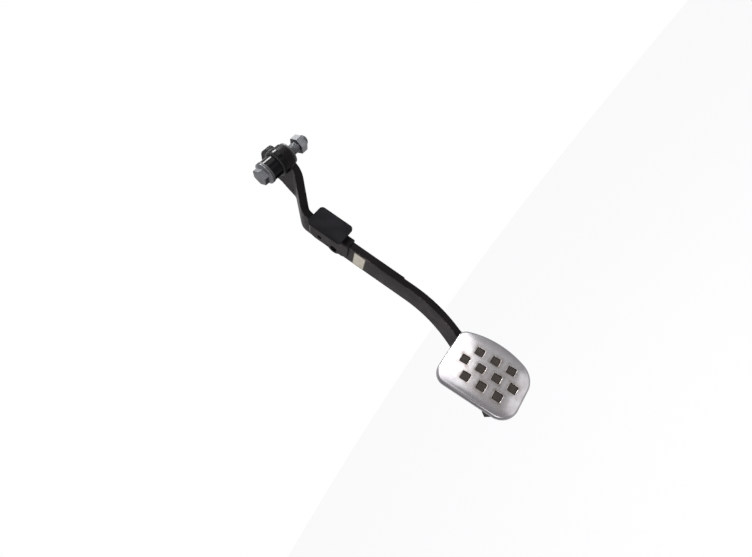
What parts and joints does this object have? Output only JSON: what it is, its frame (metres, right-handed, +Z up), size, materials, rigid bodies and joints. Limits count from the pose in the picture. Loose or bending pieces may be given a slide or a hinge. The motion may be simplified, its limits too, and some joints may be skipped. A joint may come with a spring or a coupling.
{
  "type": "brake pedal",
  "caption": "Hanging brake pedal: flat black steel arm with a sideways joggle, a bolted pivot bush, a stop switch striker and a rubber foot pad under a pierced metal cover.",
  "frame": {"origin": "on the pivot axis, at the middle of the arm head's thickness", "axes": "+Y along the pivot axis to the driver's right, +X towards the driver, +Z up with the arm's straight stretch vertical"},
  "size_m": [0.0663, 0.122, 0.3322],
  "materials": {
    "arm_paint": "satin black paint over steel",
    "hub_paint": "glossy black paint over steel",
    "weld_paint": "black paint over a rippled weld bead",
    "bush_nylon": "black moulded nylon",
    "sleeve_steel": "bright turned steel",
    "zinc_steel": "dull zinc plating",
    "striker_plastic": "matte black moulded plastic",
    "label_vinyl": "cream label, blank",
    "pad_rubber": "moulded rubber, brown-black",
    "cover_alloy": "satin, lightly worn aluminium"
  },
  "bodies": {
    "pivot_hardware": {"inner_sleeve": "sleeve_steel", "pivot_bolt": "zinc_steel", "hex_nut": "zinc_steel"},
    "pedal": {"arm": "arm_paint", "pivot_tube": "hub_paint", "hub_collar": "hub_paint", "hub_weld_left": "weld_paint", "hub_weld_right": "weld_paint", "left_bush": "bush_nylon", "right_bush": "bush_nylon", "switch_bracket": "arm_paint", "bracket_weld": "weld_paint", "striker_plate": "striker_plastic", "label": "label_vinyl", "foot_plate": "arm_paint", "toe_weld_left": "weld_paint", "toe_weld_right": "weld_paint", "rubber_pad": "pad_rubber", "alloy_cover": "cover_alloy"}
  },
  "joints": [
    {"name": "pedal_swing", "type": "hinge", "parent": "pivot_hardware", "child": "pedal", "pos_m": [0, 0, 0], "axis": [0, 1, 0], "range_deg": [0, 30]}
  ]
}
